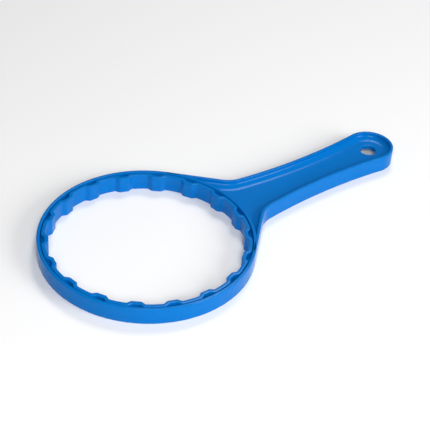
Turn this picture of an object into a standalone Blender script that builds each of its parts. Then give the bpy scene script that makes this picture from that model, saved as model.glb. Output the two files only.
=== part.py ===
"""Ring wrench for water-filter housings, moulded in one piece from blue plastic.

A closed ring with inward teeth runs through a flared neck into a flat handle. The ring has an outer
band and a folded inner wall that makes the teeth. Two side walls leave the band on a tangent, draw in
to the grip and meet round the handle's end. Floors at mid height join the walls. Each wall and floor
of the moulding is a separate closed solid here.

Units are metres, +Z up. The wrench lies flat with its handle along +X, and the origin is under the
middle of its bounding box.
"""
import math

import bmesh
import bpy

MM = 0.001

# Driving dimensions
RING_RADIUS = 67.0 * MM
BODY_HEIGHT = 11.4 * MM
RIM_WALL = 2.1 * MM
GAP = 0.3 * MM

NECK_ANGLE = math.radians(45.0)
NECK_FILLET = 18.0 * MM
WAIST_X = 134.0 * MM
WAIST_HALF_WIDTH = 13.3 * MM
GRIP_SIDE_RADIUS = 378.0 * MM
HANDLE_END_X = 196.4 * MM

TOOTH_COUNT = 18
TOOTH_TIP_RADIUS = 59.65 * MM
TOOTH_ROOT_RADIUS = 61.85 * MM
TOOTH_TIP_HALF_ANGLE = math.radians(2.8)
TOOTH_ROOT_HALF_ANGLE = math.radians(5.1)
TOOTH_WALL = 2.3 * MM
TOOTH_WALL_HEIGHT = 11.0 * MM

FLOOR_BOTTOM = 4.1 * MM
FLOOR_TOP = 7.3 * MM

HANG_HOLE_X = 179.6 * MM
HANG_HOLE_RADIUS = 5.3 * MM
EYE_LENGTH = 26.0 * MM

CHORD_SAG = 0.03 * MM
WIDEST_STEP = math.radians(10.0)
BLUE = (0.0030, 0.1560, 0.5520, 1.0)
PLASTIC_ROUGHNESS = 0.38
MOULDING_NAME = "filter_housing_wrench"

# The ring's centre lies half a length back from the middle of the wrench
RING_CENTRE_X = -(HANDLE_END_X - RING_RADIUS) / 2.0


def clear_scene():
    """Remove whatever objects the open file holds."""
    for scene_object in list(bpy.data.objects):
        bpy.data.objects.remove(scene_object, do_unlink=True)


def make_collection(name):
    """Add a collection to the scene."""
    collection = bpy.data.collections.new(name)
    bpy.context.scene.collection.children.link(collection)
    return collection


def plastic_material(name):
    """Moulded blue plastic for one region."""
    material = bpy.data.materials.new(name)
    material.use_nodes = True
    shader = material.node_tree.nodes["Principled BSDF"]
    shader.inputs["Base Color"].default_value = BLUE
    shader.inputs["Roughness"].default_value = PLASTIC_ROUGHNESS
    shader.inputs["Metallic"].default_value = 0.0
    material.diffuse_color = BLUE
    return material


def arc(centre, radius, start, end):
    """Points on an arc, both ends included, whose chords stay within CHORD_SAG of it."""
    widest = min(WIDEST_STEP, 2.0 * math.acos(1.0 - CHORD_SAG / radius))
    steps = max(2, math.ceil(abs(end - start) / widest))
    angles = [start + (end - start) * step / steps for step in range(steps + 1)]
    return [(centre[0] + radius * math.cos(a), centre[1] + radius * math.sin(a)) for a in angles]


def mirrored(points):
    """The same line on the other side of the handle's axis, in the opposite order."""
    return [(x, -y) for x, y in reversed(points)]


def solve_handle():
    """Centres and tangent angles of the fillet, grip and end arcs of the +Y side.

    The neck is a line tangent to the ring at NECK_ANGLE. The grip's side is an arc about a centre
    far outside the handle, and the fillet lies inside that arc and against the neck's line. The end
    is a circle that touches the grip's arcs and reaches HANDLE_END_X.
    """
    grip_centre = (WAIST_X, WAIST_HALF_WIDTH + GRIP_SIDE_RADIUS)
    along = (math.sin(NECK_ANGLE), -math.cos(NECK_ANGLE))
    outward = (math.cos(NECK_ANGLE), math.sin(NECK_ANGLE))
    # A point on the line that the fillet's centre slides along, and its way to the grip's centre
    start = (outward[0] * (RING_RADIUS + NECK_FILLET), outward[1] * (RING_RADIUS + NECK_FILLET))
    back = (start[0] - grip_centre[0], start[1] - grip_centre[1])
    half_b = along[0] * back[0] + along[1] * back[1]
    rest = back[0] ** 2 + back[1] ** 2 - (GRIP_SIDE_RADIUS - NECK_FILLET) ** 2
    slide = math.sqrt(half_b ** 2 - rest) - half_b
    fillet_centre = (start[0] + along[0] * slide, start[1] + along[1] * slide)
    fillet_end = math.atan2(fillet_centre[1] - grip_centre[1], fillet_centre[0] - grip_centre[0])
    # The end circle: its centre is as far from the grip's centre as the two radii together
    reach = HANDLE_END_X - WAIST_X
    sag = GRIP_SIDE_RADIUS + WAIST_HALF_WIDTH
    end_radius = (reach ** 2 + sag ** 2 - GRIP_SIDE_RADIUS ** 2) / (2.0 * (GRIP_SIDE_RADIUS + reach))
    end_centre = (HANDLE_END_X - end_radius, 0.0)
    grip_end = math.atan2(end_centre[1] - grip_centre[1], end_centre[0] - grip_centre[0])
    return {
        "fillet_centre": fillet_centre,
        "fillet_start": NECK_ANGLE - math.pi,
        "fillet_end": fillet_end,
        "grip_centre": grip_centre,
        "grip_end": grip_end,
        "end_centre": end_centre,
        "end_radius": end_radius,
        "end_angle": grip_end + math.pi,
    }


HANDLE = solve_handle()


def neck_start(inset, clearance):
    """Where the neck's straight stretch, moved inward by inset, leaves a circle round the ring."""
    distance = RING_RADIUS - inset
    reach = math.sqrt((RING_RADIUS + clearance) ** 2 - distance ** 2)
    return (
        distance * math.cos(NECK_ANGLE) + reach * math.sin(NECK_ANGLE),
        distance * math.sin(NECK_ANGLE) - reach * math.cos(NECK_ANGLE),
    )


def fillet_arc(inset, trim):
    """The neck's hollow curve, cut back by trim where the grip starts."""
    end = HANDLE["fillet_end"] - trim / NECK_FILLET
    return arc(HANDLE["fillet_centre"], NECK_FILLET + inset, HANDLE["fillet_start"], end)


def grip_arc(inset, trim, start=None, end=None):
    """The grip's long side, cut back by trim at both ends."""
    start = HANDLE["fillet_end"] if start is None else start
    end = HANDLE["grip_end"] if end is None else end
    turn = trim / GRIP_SIDE_RADIUS
    return arc(HANDLE["grip_centre"], GRIP_SIDE_RADIUS + inset, start + turn, end - turn)


def end_arc(inset, trim):
    """The handle's round end, from the +Y side to the -Y side."""
    half = HANDLE["end_angle"] - trim / HANDLE["end_radius"]
    return arc(HANDLE["end_centre"], HANDLE["end_radius"] - inset, half, -half)


def grip_angle_at(x):
    """Angle on the grip's arc above a place along the handle."""
    return math.asin((x - WAIST_X) / GRIP_SIDE_RADIUS) - math.pi / 2.0


def wall_outline(stretch):
    """A wall's plan: its outer line, then its inner line back again."""
    return stretch(0.0) + list(reversed(stretch(RIM_WALL)))


def tooth_outline(thickness, clearance=0.0):
    """The folded inner wall's line, thickness outside the gripping face.

    The corners slide towards the tooth's middle as the line moves outward, so that the wall keeps
    one thickness round each fold.
    """
    moved = thickness + clearance
    flank_rise = TOOTH_ROOT_RADIUS - TOOTH_TIP_RADIUS
    flank_run = TOOTH_ROOT_RADIUS * (TOOTH_ROOT_HALF_ANGLE - TOOTH_TIP_HALF_ANGLE)
    corner_slide = moved * math.tan(math.atan2(flank_rise, flank_run) / 2.0)
    tip = TOOTH_TIP_RADIUS + moved
    root = TOOTH_ROOT_RADIUS + moved
    tip_half = TOOTH_TIP_HALF_ANGLE - corner_slide / tip
    root_half = TOOTH_ROOT_HALF_ANGLE - corner_slide / root
    pitch = 2.0 * math.pi / TOOTH_COUNT
    points = []
    for tooth in range(TOOTH_COUNT):
        middle = (tooth + 0.5) * pitch
        points += [
            (tip * math.cos(middle - tip_half), tip * math.sin(middle - tip_half)),
            (tip * math.cos(middle + tip_half), tip * math.sin(middle + tip_half)),
        ]
        points += arc((0.0, 0.0), root, middle + root_half, middle + pitch - root_half)
    return points


def circle(radius, centre=(0.0, 0.0)):
    """A closed circle."""
    return arc(centre, radius, 0.0, 2.0 * math.pi)[:-1]


def neck_wall_outline():
    """The +Y neck wall: a wedge that starts against the ring's band and ends at the grip."""
    trim = GAP / 2.0
    tip = neck_start(0.0, 2.0 * GAP)
    root = neck_start(RIM_WALL, GAP)
    ring_face = arc((0.0, 0.0), RING_RADIUS + GAP, math.atan2(root[1], root[0]), math.atan2(tip[1], tip[0]))
    return ring_face + [tip] + fillet_arc(0.0, trim) + list(reversed(fillet_arc(RIM_WALL, trim)))


def solid(name, collection, outlines, bottom, top):
    """Raise one plan, a list of closed lines, into a closed solid of the given height."""
    curve = bpy.data.curves.new(name + "_plan", "CURVE")
    curve.dimensions = "2D"
    curve.fill_mode = "BOTH"
    curve.extrude = (top - bottom) / 2.0
    for outline in outlines:
        spline = curve.splines.new("POLY")
        spline.points.add(len(outline) - 1)
        for point, (x, y) in zip(spline.points, outline):
            point.co = (x, y, 0.0, 1.0)
        spline.use_cyclic_u = True
    plan = bpy.data.objects.new(name + "_plan", curve)
    plan.location = (RING_CENTRE_X, 0.0, (top + bottom) / 2.0)
    collection.objects.link(plan)
    bpy.context.view_layer.update()

    graph = bpy.context.evaluated_depsgraph_get()
    mesh = bpy.data.meshes.new_from_object(plan.evaluated_get(graph))
    mesh.name = name
    welded = bmesh.new()
    welded.from_mesh(mesh)
    bmesh.ops.remove_doubles(welded, verts=welded.verts, dist=0.00001)
    bmesh.ops.recalc_face_normals(welded, faces=welded.faces)
    welded.to_mesh(mesh)
    welded.free()

    raised = bpy.data.objects.new(name, mesh)
    raised.matrix_world = plan.matrix_world.copy()
    collection.objects.link(raised)
    bpy.data.objects.remove(plan, do_unlink=True)
    mesh.materials.clear()
    mesh.materials.append(plastic_material(name))
    mesh.shade_smooth()
    mesh.set_sharp_from_angle(angle=math.radians(30.0))
    return raised


def make_ring_walls(collection):
    """The band round the ring and the folded wall that carries the teeth."""
    band = [circle(RING_RADIUS), circle(RING_RADIUS - RIM_WALL)]
    folds = [tooth_outline(TOOTH_WALL), tooth_outline(0.0)]
    solid("ring_band", collection, band, 0.0, BODY_HEIGHT)
    solid("toothed_wall", collection, folds, 0.0, TOOTH_WALL_HEIGHT)


def make_handle_walls(collection):
    """The neck's and the grip's two side walls, and the wall round the end."""
    trim = GAP / 2.0

    def grip(inset):
        return grip_arc(inset, trim)

    def end(inset):
        return end_arc(inset, trim)

    for side, place in (("left", list), ("right", mirrored)):
        solid("neck_wall_" + side, collection, [place(neck_wall_outline())], 0.0, BODY_HEIGHT)
        solid("grip_wall_" + side, collection, [place(wall_outline(grip))], 0.0, BODY_HEIGHT)
    solid("end_wall", collection, [wall_outline(end)], 0.0, BODY_HEIGHT)


def make_floors(collection):
    """The floors that join the walls: ring, neck, grip and hanging eye."""
    inset = RIM_WALL + GAP
    corner = neck_start(inset, GAP)
    corner_angle = math.atan2(corner[1], corner[0])
    ring_side = arc((0.0, 0.0), RING_RADIUS + GAP, -corner_angle, corner_angle)
    neck_side = fillet_arc(inset, 0.0)
    neck_plan = ring_side + neck_side + mirrored(neck_side)

    eye_start = HANDLE_END_X - EYE_LENGTH
    grip_start = HANDLE["fillet_end"] + GAP / GRIP_SIDE_RADIUS
    eye_angle = grip_angle_at(eye_start)
    eye_gap = GAP / GRIP_SIDE_RADIUS
    grip_side = grip_arc(inset, 0.0, start=grip_start, end=eye_angle)
    eye_side = grip_arc(inset, 0.0, start=eye_angle + eye_gap)
    eye_plan = eye_side + end_arc(inset, 0.0)[1:-1] + mirrored(eye_side)
    hang_hole = circle(HANG_HOLE_RADIUS, (HANG_HOLE_X, 0.0))

    levels = (FLOOR_BOTTOM, FLOOR_TOP)
    ring_plan = [circle(RING_RADIUS - inset), tooth_outline(TOOTH_WALL, GAP)]
    solid("ring_floor", collection, ring_plan, *levels)
    solid("neck_floor", collection, [neck_plan], *levels)
    solid("grip_floor", collection, [grip_side + mirrored(grip_side)], *levels)
    solid("hanging_eye", collection, [eye_plan, hang_hole], *levels)


def main():
    """Build the wrench."""
    clear_scene()
    collection = make_collection(MOULDING_NAME)
    make_ring_walls(collection)
    make_handle_walls(collection)
    make_floors(collection)


main()
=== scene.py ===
"""Filter-housing wrench: the finished look of the moulding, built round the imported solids."""
import math

import bmesh
import bpy
from mathutils import Matrix, Vector
from mathutils.geometry import tessellate_polygon


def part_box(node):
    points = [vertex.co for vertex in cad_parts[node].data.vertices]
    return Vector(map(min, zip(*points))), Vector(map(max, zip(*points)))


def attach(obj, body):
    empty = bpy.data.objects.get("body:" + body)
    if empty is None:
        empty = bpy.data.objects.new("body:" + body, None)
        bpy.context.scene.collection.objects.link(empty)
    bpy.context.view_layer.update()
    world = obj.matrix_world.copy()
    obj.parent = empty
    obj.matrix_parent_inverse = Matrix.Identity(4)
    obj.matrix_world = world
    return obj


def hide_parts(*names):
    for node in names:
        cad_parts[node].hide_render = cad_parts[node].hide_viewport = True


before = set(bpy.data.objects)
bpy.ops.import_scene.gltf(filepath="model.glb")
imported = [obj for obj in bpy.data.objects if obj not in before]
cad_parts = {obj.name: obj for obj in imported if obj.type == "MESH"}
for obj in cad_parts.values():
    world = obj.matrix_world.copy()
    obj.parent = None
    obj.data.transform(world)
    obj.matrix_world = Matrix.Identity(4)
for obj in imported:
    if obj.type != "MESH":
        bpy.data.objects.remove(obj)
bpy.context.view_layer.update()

bl_info = {
    "name": "Filter Housing Wrench",
    "version": (1, 0, 0),
    "blender": (4, 5, 0),
    "location": "View3D > Sidebar > Wrench",
    "description": "Models a moulded ring wrench for water-filter housings and its studio",
    "category": "Add Mesh",
}

MM = 0.001
PANEL_TAB = "Wrench"

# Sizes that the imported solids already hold
BAND_LOW, BAND_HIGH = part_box("ring_band")
END_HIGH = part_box("end_wall")[1]
FLOOR_LOW, FLOOR_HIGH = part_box("grip_floor")
RING_RADIUS = (BAND_HIGH.y - BAND_LOW.y) / 2.0
RING_CENTRE = Vector(((BAND_LOW.x + BAND_HIGH.x) / 2.0, (BAND_LOW.y + BAND_HIGH.y) / 2.0, 0.0))
HANDLE_END_X = END_HIGH.x - RING_CENTRE.x
BODY_HEIGHT = BAND_HIGH.z
FLOOR_BOTTOM = FLOOR_LOW.z
FLOOR_TOP = FLOOR_HIGH.z
MIDDLE_HEIGHT = (FLOOR_TOP + FLOOR_BOTTOM) / 2.0
HALF_FLOOR = (FLOOR_TOP - FLOOR_BOTTOM) / 2.0
TOOTH_WALL_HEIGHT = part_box("toothed_wall")[1].z

# The handle's plan, in the same arcs as the solids
NECK_ANGLE = math.radians(45.0)
NECK_FILLET = 18.0 * MM
WAIST_X = 134.0 * MM
WAIST_HALF_WIDTH = 13.3 * MM
GRIP_SIDE_RADIUS = 378.0 * MM
HANG_HOLE_X = 179.6 * MM
HANG_HOLE_RADIUS = 5.3 * MM

# The folded wall of the teeth
TOOTH_COUNT = 18
TOOTH_TIP_RADIUS = 59.65 * MM
TOOTH_ROOT_RADIUS = 61.85 * MM
TOOTH_TIP_HALF_ANGLE = math.radians(2.8)
TOOTH_ROOT_HALF_ANGLE = math.radians(5.1)

# How finely the shapes are drawn
STEP = 0.9 * MM
RIM_ROUND_STEPS = 6
TOOTH_ROUND_STEPS = 4
POCKET_FILLET_STEPS = 5
COVE_STEPS = 12
HOLE_SIDES = 72
HOLE_ROUND_STEPS = 6
TOOTH_COLUMNS = 48 * TOOTH_COUNT
FOLD_SAMPLES = 9

# How far one region runs into the next, and how near two points are made one
EMBED = 0.6 * MM
MERGE_DISTANCE = 0.001 * MM
# Edges that turn by more than this stay sharp
SMOOTH_ANGLE = math.radians(40.0)
# Half the length of wall that a fold's rounding takes, as a share of its radius
FOLD_BLEND = 0.4
# The most of a pocket's width that the fillet on one side of it takes
FILLET_SHARE = 0.48


# ---------------------------------------------------------------- settings


class WrenchMouldSettings(bpy.types.PropertyGroup):
    """Wall, rim and fillet sizes of the moulding."""

    rim_wall: bpy.props.FloatProperty(
        name="Rim wall", description="Thickness of the outer walls", default=2.1 * MM, unit="LENGTH"
    )
    tooth_wall: bpy.props.FloatProperty(
        name="Tooth wall",
        description="Thickness of the folded inner wall",
        default=2.5 * MM,
        unit="LENGTH",
    )
    rim_outer_round: bpy.props.FloatProperty(
        name="Outer rim rounding",
        description="Radius of the rim's outer edge",
        default=0.7 * MM,
        unit="LENGTH",
    )
    rim_inner_round: bpy.props.FloatProperty(
        name="Inner rim rounding",
        description="Radius of the rim's inner edge",
        default=0.6 * MM,
        unit="LENGTH",
    )
    tooth_edge_round: bpy.props.FloatProperty(
        name="Tooth edge rounding",
        description="Radius of the folded wall's edges",
        default=0.4 * MM,
        unit="LENGTH",
    )
    fold_radius: bpy.props.FloatProperty(
        name="Fold radius",
        description="Radius of the folds at the teeth, on the gripping side",
        default=1.2 * MM,
        unit="LENGTH",
    )
    pocket_fillet: bpy.props.FloatProperty(
        name="Pocket fillet",
        description="Radius at the foot of the pockets behind the teeth",
        default=1.2 * MM,
        unit="LENGTH",
    )
    cove_width: bpy.props.FloatProperty(
        name="Cove width",
        description="How far the hollow at the foot of a handle wall reaches along the floor",
        default=5.2 * MM,
        unit="LENGTH",
    )
    cove_height: bpy.props.FloatProperty(
        name="Cove height",
        description="How far that hollow reaches up the wall",
        default=3.0 * MM,
        unit="LENGTH",
    )
    hole_round: bpy.props.FloatProperty(
        name="Hole rounding",
        description="Radius of the hanging hole's edge",
        default=0.6 * MM,
        unit="LENGTH",
    )


class WrenchColourSettings(bpy.types.PropertyGroup):
    """Colours and light of the wrench and its studio."""

    plastic: bpy.props.StringProperty(
        name="Plastic", description="Colour of the moulded plastic, as sRGB hex", default="0071C2"
    )
    floor: bpy.props.StringProperty(
        name="Floor", description="Colour of the studio floor, as sRGB hex", default="FFFFFF"
    )
    key_power: bpy.props.FloatProperty(
        name="Key light",
        description="Power of the light on the camera's right",
        default=10.0,
        unit="POWER",
    )
    fill_power: bpy.props.FloatProperty(
        name="Fill light",
        description="Power of the light behind the camera",
        default=10.0,
        unit="POWER",
    )
    top_power: bpy.props.FloatProperty(
        name="Top light",
        description="Power of the light high up on the far side",
        default=4.5,
        unit="POWER",
    )
    sky: bpy.props.FloatProperty(
        name="Sky", description="Strength of the light from all round", default=0.15, min=0.0
    )


# ---------------------------------------------------------------- plan geometry


def arc(centre, radius, start, end, step=STEP):
    """Points on an arc, both ends included, about one step apart."""
    count = max(3, math.ceil(abs(end - start) * radius / step))
    return [
        (
            centre[0] + radius * math.cos(start + (end - start) * i / count),
            centre[1] + radius * math.sin(start + (end - start) * i / count),
        )
        for i in range(count + 1)
    ]


def solve_handle():
    """Arcs of the neck's fillet, the grip's side and the round end, on the +Y side."""
    grip_centre = (WAIST_X, WAIST_HALF_WIDTH + GRIP_SIDE_RADIUS)
    along = (math.sin(NECK_ANGLE), -math.cos(NECK_ANGLE))
    outward = (math.cos(NECK_ANGLE), math.sin(NECK_ANGLE))
    start = (outward[0] * (RING_RADIUS + NECK_FILLET), outward[1] * (RING_RADIUS + NECK_FILLET))
    back = (start[0] - grip_centre[0], start[1] - grip_centre[1])
    half_b = along[0] * back[0] + along[1] * back[1]
    rest = back[0] ** 2 + back[1] ** 2 - (GRIP_SIDE_RADIUS - NECK_FILLET) ** 2
    slide = math.sqrt(half_b ** 2 - rest) - half_b
    fillet_centre = (start[0] + along[0] * slide, start[1] + along[1] * slide)
    fillet_end = math.atan2(fillet_centre[1] - grip_centre[1], fillet_centre[0] - grip_centre[0])
    reach = HANDLE_END_X - WAIST_X
    sag = GRIP_SIDE_RADIUS + WAIST_HALF_WIDTH
    end_radius = reach ** 2 + sag ** 2 - GRIP_SIDE_RADIUS ** 2
    end_radius /= 2.0 * (GRIP_SIDE_RADIUS + reach)
    end_centre = (HANDLE_END_X - end_radius, 0.0)
    grip_end = math.atan2(end_centre[1] - grip_centre[1], end_centre[0] - grip_centre[0])
    return {
        "fillet_centre": fillet_centre,
        "fillet_start": NECK_ANGLE - math.pi,
        "fillet_end": fillet_end,
        "grip_centre": grip_centre,
        "grip_end": grip_end,
        "end_centre": end_centre,
        "end_radius": end_radius,
        "end_angle": grip_end + math.pi,
    }


HANDLE = solve_handle()


def side_path(inset, start_reach):
    """The +Y side wall's line, moved inward by inset, from the neck's start to the grip's end."""
    distance = RING_RADIUS - inset
    along = (math.sin(NECK_ANGLE), -math.cos(NECK_ANGLE))
    origin = (distance * math.cos(NECK_ANGLE), distance * math.sin(NECK_ANGLE))
    fillet = arc(
        HANDLE["fillet_centre"], NECK_FILLET + inset, HANDLE["fillet_start"], HANDLE["fillet_end"]
    )
    length = (fillet[0][0] - origin[0]) * along[0] + (fillet[0][1] - origin[1]) * along[1]
    count = max(2, math.ceil((length - start_reach) / STEP))
    line = [
        (
            origin[0] + along[0] * (start_reach + (length - start_reach) * i / count),
            origin[1] + along[1] * (start_reach + (length - start_reach) * i / count),
        )
        for i in range(count)
    ]
    grip = arc(
        HANDLE["grip_centre"], GRIP_SIDE_RADIUS + inset, HANDLE["fillet_end"], HANDLE["grip_end"]
    )
    return line + fillet + grip[1:]


def handle_path(inset, start_reach):
    """The whole handle wall's line: down the +Y side, round the end and back up the -Y side."""
    side = side_path(inset, start_reach)
    turn = HANDLE["end_angle"]
    end = arc(HANDLE["end_centre"], HANDLE["end_radius"] - inset, turn, -turn)
    return side + end[1:-1] + [(x, -y) for x, y in reversed(side)]


# ---------------------------------------------------------------- mesh helpers


def finish_mesh(name, vertices, faces, plastic):
    """Make a closed mesh object, facing outward, from points and faces in the ring's own axes."""
    mesh = bpy.data.meshes.new(name)
    mesh.from_pydata([Vector(v) + RING_CENTRE for v in vertices], [], faces)
    shell = bmesh.new()
    shell.from_mesh(mesh)
    bmesh.ops.remove_doubles(shell, verts=shell.verts, dist=MERGE_DISTANCE)
    bmesh.ops.recalc_face_normals(shell, faces=shell.faces)
    shell.to_mesh(mesh)
    shell.free()
    piece = bpy.data.objects.new(name, mesh)
    bpy.context.scene.collection.objects.link(piece)
    mesh.materials.append(plastic)
    mesh.shade_smooth()
    mesh.set_sharp_from_angle(angle=SMOOTH_ANGLE)
    return piece


def bridge(rows, closed_rows, closed_columns):
    """Quads between rows of equally many vertex numbers."""
    faces = []
    row_count = len(rows)
    column_count = len(rows[0])
    for r in range(row_count if closed_rows else row_count - 1):
        upper = rows[r]
        lower = rows[(r + 1) % row_count]
        for c in range(column_count if closed_columns else column_count - 1):
            d = (c + 1) % column_count
            faces.append((upper[c], upper[d], lower[d], lower[c]))
    return faces


def wall_profile(thickness, top, outer_round, inner_round, steps):
    """Cross-section of a wall that stands on the ground, as (distance inward, height)."""
    corners = (
        (outer_round, outer_round, outer_round, math.pi * 1.5, math.pi),
        (outer_round, top - outer_round, outer_round, math.pi, math.pi / 2.0),
        (thickness - inner_round, top - inner_round, inner_round, math.pi / 2.0, 0.0),
        (thickness - inner_round, inner_round, inner_round, 0.0, -math.pi / 2.0),
    )
    profile = []
    for s, z, radius, start, end in corners:
        for i in range(steps + 1):
            angle = start + (end - start) * i / steps
            profile.append((s + radius * math.cos(angle), z + radius * math.sin(angle)))
    return profile


def rim_profile(size):
    """Cross-section shared by the ring's band and the handle's wall."""
    return wall_profile(
        size.rim_wall, BODY_HEIGHT, size.rim_outer_round, size.rim_inner_round, RIM_ROUND_STEPS
    )


def inward_normals(path):
    """Unit normals on the right-hand side of an open path in the plan."""
    normals = []
    last = len(path) - 1
    for index in range(len(path)):
        before = Vector(path[max(index - 1, 0)])
        after = Vector(path[min(index + 1, last)])
        along = (after - before).normalized()
        normals.append((along.y, -along.x))
    return normals


def build_round_ring(name, count, outline_at, plastic):
    """A closed piece all round the ring, from its outline of (radius, height) at each angle."""
    vertices = []
    rows = []
    for i in range(count):
        angle = 2.0 * math.pi * i / count
        outline = outline_at(angle)
        rows.append(list(range(len(vertices), len(vertices) + len(outline))))
        vertices += [(r * math.cos(angle), r * math.sin(angle), z) for r, z in outline]
    return finish_mesh(name, vertices, bridge(rows, True, True), plastic)


def build_ring_band(size, plastic):
    """The ring's outer wall."""
    outline = [(RING_RADIUS - s, z) for s, z in rim_profile(size)]
    count = math.ceil(2.0 * math.pi * RING_RADIUS / STEP)
    return build_round_ring("ring_band_moulded", count, lambda angle: outline, plastic)


def build_handle_wall(size, plastic):
    """The wall that leaves the ring on a tangent and runs round the whole handle."""
    profile = rim_profile(size)
    path = handle_path(0.0, 0.0)
    normals = inward_normals(path)
    vertices = []
    rows = []
    for (x, y), (nx, ny) in zip(path, normals):
        rows.append(list(range(len(vertices), len(vertices) + len(profile))))
        vertices += [(x + nx * s, y + ny * s, z) for s, z in profile]
    faces = bridge(rows, False, True)
    faces.append(tuple(rows[0]))
    faces.append(tuple(reversed(rows[-1])))
    return finish_mesh("handle_wall_moulded", vertices, faces, plastic)


def fold(angle, tip_half, root_half, blend):
    """1 on a tooth's tip, 0 between teeth, with a flank between them and rounded folds."""
    pitch = 2.0 * math.pi / TOOTH_COUNT
    away = abs(math.remainder(angle - pitch / 2.0, pitch))
    total = 0.0
    for i in range(FOLD_SAMPLES):
        place = away + blend * (2.0 * (i + 0.5) / FOLD_SAMPLES - 1.0)
        total += min(1.0, max(0.0, (root_half - abs(place)) / (root_half - tip_half)))
    return total / FOLD_SAMPLES


def tooth_face(angle, size):
    """Radius of the gripping side of the folded wall."""
    rise = TOOTH_ROOT_RADIUS - TOOTH_TIP_RADIUS
    blend = size.fold_radius * FOLD_BLEND / TOOTH_ROOT_RADIUS
    depth = rise * fold(angle, TOOTH_TIP_HALF_ANGLE, TOOTH_ROOT_HALF_ANGLE, blend)
    return TOOTH_ROOT_RADIUS - depth


def tooth_back(angle, size):
    """Radius of the hidden side of the folded wall, one wall thickness behind the gripping side."""
    rise = TOOTH_ROOT_RADIUS - TOOTH_TIP_RADIUS
    run = TOOTH_ROOT_RADIUS * (TOOTH_ROOT_HALF_ANGLE - TOOTH_TIP_HALF_ANGLE)
    slide = size.tooth_wall * math.tan(math.atan2(rise, run) / 2.0) / TOOTH_ROOT_RADIUS
    blend = size.fold_radius * FOLD_BLEND / TOOTH_ROOT_RADIUS
    depth = rise * fold(angle, TOOTH_TIP_HALF_ANGLE - slide, TOOTH_ROOT_HALF_ANGLE - slide, blend)
    return TOOTH_ROOT_RADIUS + size.tooth_wall - depth


def build_toothed_wall(size, plastic):
    """The folded inner wall whose folds are the teeth."""
    edge = size.tooth_edge_round

    def outline_at(angle):
        back = tooth_back(angle, size)
        thickness = back - tooth_face(angle, size)
        profile = wall_profile(thickness, TOOTH_WALL_HEIGHT, edge, edge, TOOTH_ROUND_STEPS)
        return [(back - s, z) for s, z in profile]

    return build_round_ring("toothed_wall_moulded", TOOTH_COLUMNS, outline_at, plastic)


def build_ring_floor(size, plastic):
    """The floor of the groove between the toothed wall and the ring's band."""
    outside = RING_RADIUS - size.rim_wall

    def outline_at(angle):
        inside = tooth_back(angle, size)
        fillet = min(size.pocket_fillet, FILLET_SHARE * (outside - inside))
        # The fillet on one side, as (distance from its wall, height over the middle)
        quarter = []
        for k in range(POCKET_FILLET_STEPS + 1):
            turn = math.pi / 2.0 * k / POCKET_FILLET_STEPS
            reach = fillet * (1.0 - math.cos(turn))
            quarter.append((reach, HALF_FLOOR + fillet * (1.0 - math.sin(turn))))
        section = [(inside - EMBED, HALF_FLOOR + fillet)]
        section += [(inside + reach, z) for reach, z in quarter]
        section += [(outside - reach, z) for reach, z in reversed(quarter)]
        section.append((outside + EMBED, HALF_FLOOR + fillet))
        # The under side mirrors the upper side
        outline = [(r, MIDDLE_HEIGHT + z) for r, z in section]
        return outline + [(r, MIDDLE_HEIGHT - z) for r, z in reversed(section)]

    return build_round_ring("ring_floor_moulded", TOOTH_COLUMNS, outline_at, plastic)


def cove(distance, size):
    """Height above the floor of the hollow at a distance from the wall."""
    if distance >= size.cove_width:
        return 0.0
    along = 1.0 - max(distance, 0.0) / size.cove_width
    return size.cove_height * (1.0 - math.sqrt(1.0 - along * along))


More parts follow.
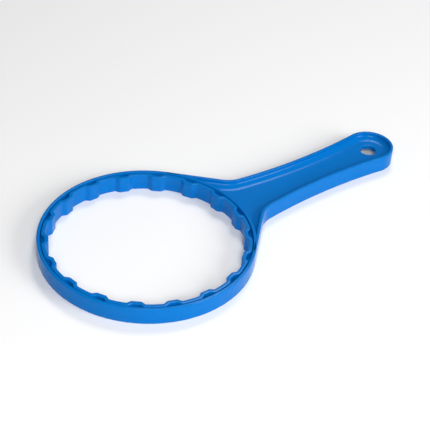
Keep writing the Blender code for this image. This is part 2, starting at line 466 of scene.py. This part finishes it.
def build_handle_floor(size, plastic):
    """The floor of the neck and the handle, hollowed up to the walls, with the hanging hole."""
    hidden_radius = RING_RADIUS - size.rim_wall / 2.0
    inset = size.rim_wall
    start = math.sqrt(hidden_radius ** 2 - (RING_RADIUS - inset) ** 2)
    path = handle_path(inset, start)
    normals = inward_normals(path)
    top = []
    rows = []
    clipped = []
    for (x, y), (nx, ny) in zip(path, normals):
        # The hollow stops where it would come out of the ring's band
        outward = x * nx + y * ny
        room = outward ** 2 - (x * x + y * y - hidden_radius ** 2)
        reach = size.cove_width
        if outward < 0.0 and room > 0.0:
            reach = min(reach, max(0.0, -outward - math.sqrt(room)))
        clipped.append(reach < size.cove_width)
        row = [len(top)]
        top.append((x - nx * EMBED, y - ny * EMBED, size.cove_height))
        for k in range(COVE_STEPS + 1):
            distance = reach * (1.0 - math.cos(math.pi / 2.0 * k / COVE_STEPS))
            row.append(len(top))
            top.append((x + nx * distance, y + ny * distance, cove(distance, size)))
        rows.append(row)
    faces = bridge(rows, False, False)

    first = clipped.index(False)
    last = len(rows) - 1 - clipped[::-1].index(False)
    level_loop = [rows[i][-1] for i in range(first, last + 1)]
    begin = Vector(top[rows[last][-1]][:2])
    finish = Vector(top[rows[first][-1]][:2])
    ring_side = []
    from_angle = math.atan2(begin.y, begin.x)
    to_angle = math.atan2(finish.y, finish.x)
    for point in arc((0.0, 0.0), hidden_radius, from_angle, to_angle)[1:-1]:
        ring_side.append(len(top))
        top.append((point[0], point[1], 0.0))
    level_loop += ring_side

    # The hanging hole's rounded edge. The skirt further down lines the hole
    hole_rows = []
    for k in range(HOLE_ROUND_STEPS + 1):
        turn = math.pi / 2.0 * k / HOLE_ROUND_STEPS
        radius = HANG_HOLE_RADIUS + size.hole_round * (1.0 - math.sin(turn))
        drop = size.hole_round * (1.0 - math.cos(turn))
        row = []
        for i in range(HOLE_SIDES):
            angle = -2.0 * math.pi * i / HOLE_SIDES
            row.append(len(top))
            top.append((HANG_HOLE_X + radius * math.cos(angle), radius * math.sin(angle), -drop))
        hole_rows.append(row)
    faces += bridge(hole_rows, False, True)

    loops = [
        [Vector((top[v][0], top[v][1], 0.0)) for v in level_loop],
        [Vector((top[v][0], top[v][1], 0.0)) for v in hole_rows[0]],
    ]
    numbers = level_loop + hole_rows[0]
    for triangle in tessellate_polygon(loops):
        faces.append(tuple(numbers[v] for v in triangle))

    # The under side mirrors the upper side, and a skirt joins their edges
    offset = len(top)
    vertices = [(x, y, FLOOR_TOP + z) for x, y, z in top]
    vertices += [(x, y, FLOOR_BOTTOM - z) for x, y, z in top]
    edge_uses = {}
    for face in faces:
        for a, b in zip(face, face[1:] + face[:1]):
            key = (min(a, b), max(a, b))
            edge_uses[key] = edge_uses.get(key, 0) + 1
    skirt = []
    for face in faces:
        for a, b in zip(face, face[1:] + face[:1]):
            if edge_uses[(min(a, b), max(a, b))] == 1:
                skirt.append((b, a, a + offset, b + offset))
    under = [tuple(v + offset for v in reversed(face)) for face in faces]
    return finish_mesh("handle_floor_moulded", vertices, faces + under + skirt, plastic)


# ---------------------------------------------------------------- materials

# Widths of the plastic's patterns, each the size of one cell of its noise
CLOUD_WIDTH = 25.0 * MM
SHRINK_WIDTH = 6.25 * MM
RIPPLE_WIDTH = 5.0 / 3.0 * MM
RIPPLE_HEIGHT = 0.02 * MM
# How much darker and lighter than the plastic's colour its clouds are
DARKER, LIGHTER = 0.96, 1.04
# The Mix node's colour sockets share their names with others, so they go by number
MIX_FACTOR, MIX_FIRST, MIX_SECOND, MIX_RESULT = 0, 6, 7, 2


def linear(hex_colour):
    """An sRGB hex value as a linear colour."""
    channels = [int(hex_colour[i : i + 2], 16) / 255.0 for i in (0, 2, 4)]
    return [c / 12.92 if c <= 0.04045 else ((c + 0.055) / 1.055) ** 2.4 for c in channels] + [1.0]


def shade(colour, factor):
    """A linear colour made darker or lighter, with full alpha."""
    return [min(1.0, channel * factor) for channel in colour[:3]] + [1.0]


def add_node(material, kind, inputs=(), links=(), **settings):
    """Add a node with its settings, socket values and incoming links."""
    tree = material.node_tree
    node = tree.nodes.new(kind)
    for key, value in settings.items():
        setattr(node, key, value)
    for socket, value in inputs:
        node.inputs[socket].default_value = value
    for socket, source in links:
        tree.links.new(source, node.inputs[socket])
    return node


def moulded_polypropylene(hex_colour):
    """Glossy blue polypropylene, as it leaves a polished mould.

    The eye gets a clean even blue with soft highlights, a faint ripple where the melt cooled, and
    slightly duller patches where the skin shrank away from the steel.
    """
    material = bpy.data.materials.new("moulded_polypropylene")
    material.use_nodes = True
    tree = material.node_tree
    shader = tree.nodes["Principled BSDF"]
    base = linear(hex_colour)
    shader.inputs["Metallic"].default_value = 0.0
    shader.inputs["IOR"].default_value = 1.49
    # Below the usual 0.5, so faces turned to the eye keep their blue and only grazing ones shine
    shader.inputs["Specular IOR Level"].default_value = 0.11
    place = add_node(material, "ShaderNodeTexCoord")
    # Clouds of pigment, and the patches where the skin shrank
    clouds = add_node(
        material,
        "ShaderNodeTexNoise",
        inputs=(("Scale", 1.0 / CLOUD_WIDTH), ("Detail", 2.0), ("Roughness", 0.5)),
        links=(("Vector", place.outputs["Object"]),),
    )
    patches = add_node(
        material,
        "ShaderNodeTexNoise",
        inputs=(("Scale", 1.0 / SHRINK_WIDTH), ("Detail", 3.0), ("Roughness", 0.55)),
        links=(("Vector", place.outputs["Object"]),),
    )
    tint = add_node(
        material,
        "ShaderNodeMix",
        data_type="RGBA",
        inputs=((MIX_FIRST, shade(base, DARKER)), (MIX_SECOND, shade(base, LIGHTER))),
        links=((MIX_FACTOR, clouds.outputs["Fac"]),),
    )
    gloss = add_node(
        material,
        "ShaderNodeMapRange",
        inputs=(("From Min", 0.3), ("From Max", 0.7), ("To Min", 0.16), ("To Max", 0.21)),
        links=(("Value", patches.outputs["Fac"]),),
    )
    # The bump's strength leaves a quarter of the ripple's height, so at most 5 micrometres
    ripple = add_node(
        material,
        "ShaderNodeTexNoise",
        inputs=(("Scale", 1.0 / RIPPLE_WIDTH), ("Detail", 1.0)),
        links=(("Vector", place.outputs["Object"]),),
    )
    bump = add_node(
        material,
        "ShaderNodeBump",
        inputs=(("Strength", 0.25), ("Distance", RIPPLE_HEIGHT)),
        links=(("Height", ripple.outputs["Fac"]),),
    )
    tree.links.new(tint.outputs[MIX_RESULT], shader.inputs["Base Color"])
    tree.links.new(gloss.outputs["Result"], shader.inputs["Roughness"])
    tree.links.new(bump.outputs["Normal"], shader.inputs["Normal"])
    return material


def studio_paper(hex_colour):
    """Matt seamless paper: an even pale ground with no shine."""
    material = bpy.data.materials.new("studio_paper")
    material.use_nodes = True
    shader = material.node_tree.nodes["Principled BSDF"]
    shader.inputs["Base Color"].default_value = linear(hex_colour)
    shader.inputs["Roughness"].default_value = 0.9
    shader.inputs["Specular IOR Level"].default_value = 0.1
    return material


def shared_plastic():
    """The one plastic that the whole moulding is made of."""
    found = bpy.data.materials.get("moulded_polypropylene")
    return found or moulded_polypropylene(bpy.context.scene.wrench_colours.plastic)


# ---------------------------------------------------------------- studio

# The camera, measured from the ring's centre
CAMERA_PLACE = Vector((-373.95, -529.17, 537.77)) * MM
CAMERA_RIGHT = Vector((0.80453, -0.59133, 0.05538))
CAMERA_UP = Vector((0.33085, 0.52366, 0.78506))
CAMERA_BACK = Vector((-0.49323, -0.61328, 0.61694))
CAMERA_LENS = 114.86
CAMERA_SENSOR = 36.0
CAMERA_CLIP = (0.05, 20.0)

# Places and widths of the softboxes and half the width of the paper, in metres
KEY_PLACE = (0.44, -1.08, 0.57)
FILL_PLACE = (-0.58, -0.77, 0.87)
TOP_PLACE = (0.58, 0.50, 1.05)
WIDE_SOFTBOX = 0.6
SMALL_SOFTBOX = 0.35
FLOOR_HALF_WIDTH = 3.0


def softbox(name, place, width, power):
    """A square softbox at place, facing the middle of the wrench."""
    data = bpy.data.lights.new(name, "AREA")
    data.shape = "SQUARE"
    data.size = width
    data.energy = power
    lamp = bpy.data.objects.new(name, data)
    bpy.context.scene.collection.objects.link(lamp)
    lamp.location = place
    lamp.rotation_mode = "QUATERNION"
    lamp.rotation_quaternion = Vector(place).to_track_quat("Z", "Y")


# ---------------------------------------------------------------- operators


def settle(piece, *nodes):
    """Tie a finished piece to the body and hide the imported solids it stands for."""
    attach(piece, "root")
    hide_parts(*nodes)


class WRENCH_OT_ring_band(bpy.types.Operator):
    """Mould the ring's outer band"""

    bl_idname = "wrench.ring_band"
    bl_label = "Ring Band"

    def execute(self, context):
        piece = build_ring_band(context.scene.wrench_mould, shared_plastic())
        settle(piece, "ring_band")
        return {"FINISHED"}


class WRENCH_OT_toothed_wall(bpy.types.Operator):
    """Mould the folded wall whose folds are the teeth"""

    bl_idname = "wrench.toothed_wall"
    bl_label = "Toothed Wall"

    def execute(self, context):
        piece = build_toothed_wall(context.scene.wrench_mould, shared_plastic())
        settle(piece, "toothed_wall")
        return {"FINISHED"}


class WRENCH_OT_ring_floor(bpy.types.Operator):
    """Mould the floor of the ring's groove"""

    bl_idname = "wrench.ring_floor"
    bl_label = "Ring Floor"

    def execute(self, context):
        piece = build_ring_floor(context.scene.wrench_mould, shared_plastic())
        settle(piece, "ring_floor")
        return {"FINISHED"}


class WRENCH_OT_handle_wall(bpy.types.Operator):
    """Mould the wall round the neck, the grip and the handle's end"""

    bl_idname = "wrench.handle_wall"
    bl_label = "Handle Wall"

    def execute(self, context):
        piece = build_handle_wall(context.scene.wrench_mould, shared_plastic())
        settle(
            piece,
            "neck_wall_left",
            "neck_wall_right",
            "grip_wall_left",
            "grip_wall_right",
            "end_wall",
        )
        return {"FINISHED"}


class WRENCH_OT_handle_floor(bpy.types.Operator):
    """Mould the hollowed floor of the handle, with its hanging hole"""

    bl_idname = "wrench.handle_floor"
    bl_label = "Handle Floor"

    def execute(self, context):
        piece = build_handle_floor(context.scene.wrench_mould, shared_plastic())
        settle(piece, "neck_floor", "grip_floor", "hanging_eye")
        return {"FINISHED"}


class WRENCH_OT_studio(bpy.types.Operator):
    """Set up the paper floor, the softboxes, the sky and the camera"""

    bl_idname = "wrench.studio"
    bl_label = "Studio"

    def execute(self, context):
        colours = context.scene.wrench_colours
        half = FLOOR_HALF_WIDTH
        mesh = bpy.data.meshes.new("studio_floor")
        mesh.from_pydata(
            [(-half, -half, 0.0), (half, -half, 0.0), (half, half, 0.0), (-half, half, 0.0)],
            [],
            [(0, 1, 2, 3)],
        )
        floor = bpy.data.objects.new("studio_floor", mesh)
        context.scene.collection.objects.link(floor)
        mesh.materials.append(studio_paper(colours.floor))

        softbox("key_softbox", KEY_PLACE, WIDE_SOFTBOX, colours.key_power)
        softbox("fill_softbox", FILL_PLACE, WIDE_SOFTBOX, colours.fill_power)
        softbox("top_softbox", TOP_PLACE, SMALL_SOFTBOX, colours.top_power)

        world = bpy.data.worlds.new("studio_sky")
        context.scene.world = world
        world.use_nodes = True
        sky = world.node_tree.nodes["Background"]
        sky.inputs["Color"].default_value = linear("FFFFFF")
        sky.inputs["Strength"].default_value = colours.sky

        data = bpy.data.cameras.new("studio_camera")
        data.lens = CAMERA_LENS
        data.sensor_width = CAMERA_SENSOR
        data.clip_start, data.clip_end = CAMERA_CLIP
        camera = bpy.data.objects.new("studio_camera", data)
        context.scene.collection.objects.link(camera)
        turn = Matrix((CAMERA_RIGHT, CAMERA_UP, CAMERA_BACK)).transposed()
        camera.matrix_world = Matrix.Translation(CAMERA_PLACE + RING_CENTRE) @ turn.to_4x4()
        context.scene.camera = camera
        context.scene.view_settings.view_transform = "Standard"
        return {"FINISHED"}


class WRENCH_PT_panel(bpy.types.Panel):
    """Lists the wrench's settings and operators"""

    bl_idname = "WRENCH_PT_panel"
    bl_label = "Filter Housing Wrench"
    bl_space_type = "VIEW_3D"
    bl_region_type = "UI"
    bl_category = PANEL_TAB

    def draw(self, context):
        layout = self.layout
        for settings in (context.scene.wrench_mould, context.scene.wrench_colours):
            box = layout.box()
            for name in settings.bl_rna.properties.keys():
                if name not in {"rna_type", "name"}:
                    box.prop(settings, name)
        for operator in OPERATORS:
            layout.operator(operator.bl_idname)


OPERATORS = (
    WRENCH_OT_ring_band,
    WRENCH_OT_toothed_wall,
    WRENCH_OT_ring_floor,
    WRENCH_OT_handle_wall,
    WRENCH_OT_handle_floor,
    WRENCH_OT_studio,
)
CLASSES = (WrenchMouldSettings, WrenchColourSettings) + OPERATORS + (WRENCH_PT_panel,)


def register():
    """Add the classes and the scene's settings."""
    for item in CLASSES:
        bpy.utils.register_class(item)
    bpy.types.Scene.wrench_mould = bpy.props.PointerProperty(type=WrenchMouldSettings)
    bpy.types.Scene.wrench_colours = bpy.props.PointerProperty(type=WrenchColourSettings)


def unregister():
    """Remove the classes and the scene's settings."""
    del bpy.types.Scene.wrench_colours
    del bpy.types.Scene.wrench_mould
    for item in reversed(CLASSES):
        bpy.utils.unregister_class(item)


def main():
    """Build the wrench and its studio."""
    register()
    bpy.ops.wrench.ring_band()
    bpy.ops.wrench.toothed_wall()
    bpy.ops.wrench.ring_floor()
    bpy.ops.wrench.handle_wall()
    bpy.ops.wrench.handle_floor()
    bpy.ops.wrench.studio()


if __name__ == "__main__":
    main()
